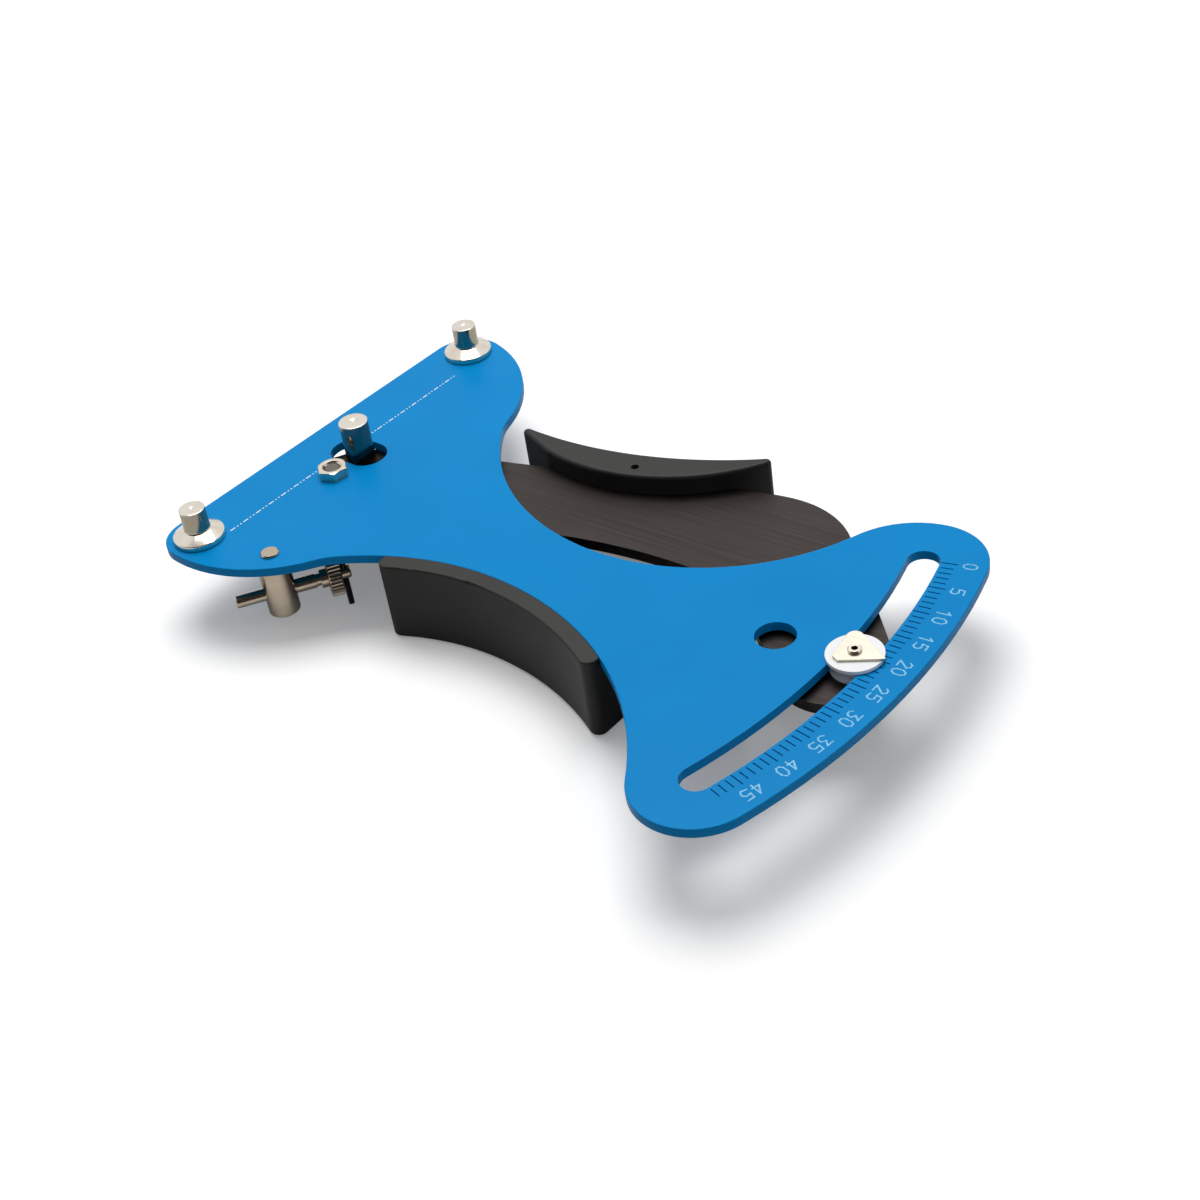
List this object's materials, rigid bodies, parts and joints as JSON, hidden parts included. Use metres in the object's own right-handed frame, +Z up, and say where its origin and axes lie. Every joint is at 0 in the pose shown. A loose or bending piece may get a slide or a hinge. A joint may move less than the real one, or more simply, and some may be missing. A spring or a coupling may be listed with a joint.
{
  "type": "spoke tension meter",
  "caption": "Hand tool that measures wheel spoke tension: two fixed posts, a sprung lever with a third post, and a pointer in an arc scale's slot.",
  "frame": {"origin": "middle of the tool's outline, on the surface that its two grips lie on", "axes": "+X from the post end to the scale, +Y towards the lever's grip, +Z up the posts"},
  "size_m": [0.1906, 0.128, 0.031],
  "materials": {
    "blue_enamel": "smooth baked enamel",
    "dark_steel": "dark finish, brushed lengthwise",
    "nickel": "bright nickel plate",
    "turned_steel": "turned, nickel plated",
    "pointer_nickel": "pale nickel sheet",
    "zinc_steel": "bright zinc",
    "bush_bronze": "plain",
    "grip_plastic": "black moulded",
    "white_nylon": "white moulded",
    "spring_steel": "oil blackened wire"
  },
  "bodies": {
    "frame": {"scale_plate": "blue_enamel", "fixed_post_left": "nickel", "fixed_post_right": "nickel", "pivot_bolt": "zinc_steel", "pivot_nut": "pointer_nickel", "upper_thrust_washer": "white_nylon", "pivot_bush": "bush_bronze", "lower_thrust_washer": "white_nylon", "spring_sleeve": "white_nylon", "spring_retainer": "zinc_steel", "torsion_spring": "spring_steel", "fixed_grip": "grip_plastic", "fixed_grip_screws": "zinc_steel", "adjuster_post": "turned_steel", "adjuster_rod": "turned_steel", "adjuster_collar": "nickel"},
    "lever": {"lever_plate": "dark_steel", "centre_post": "nickel", "moving_grip": "grip_plastic", "moving_grip_pin": "spring_steel", "pointer_bush": "white_nylon", "pointer_washer": "white_nylon", "pointer": "pointer_nickel", "pointer_rivet": "nickel"},
    "adjuster_nut": {"adjuster_nut": "turned_steel"}
  },
  "joints": [
    {"name": "lever_pivot", "type": "hinge", "parent": "frame", "child": "lever", "pos_m": [-0.07565, -0.00682, 0.017], "axis": [0, 0, 1], "range_deg": [-17.6, 13.2], "stiffness_Nm_per_rad": 0.35, "deforming": ["torsion_spring"]},
    {"name": "adjuster_spin", "type": "hinge", "parent": "frame", "child": "adjuster_nut", "pos_m": [-0.05673, -0.02835, 0.0103], "axis": [0.5505, 0.8348, 0], "range_deg": [-720, 720]}
  ]
}
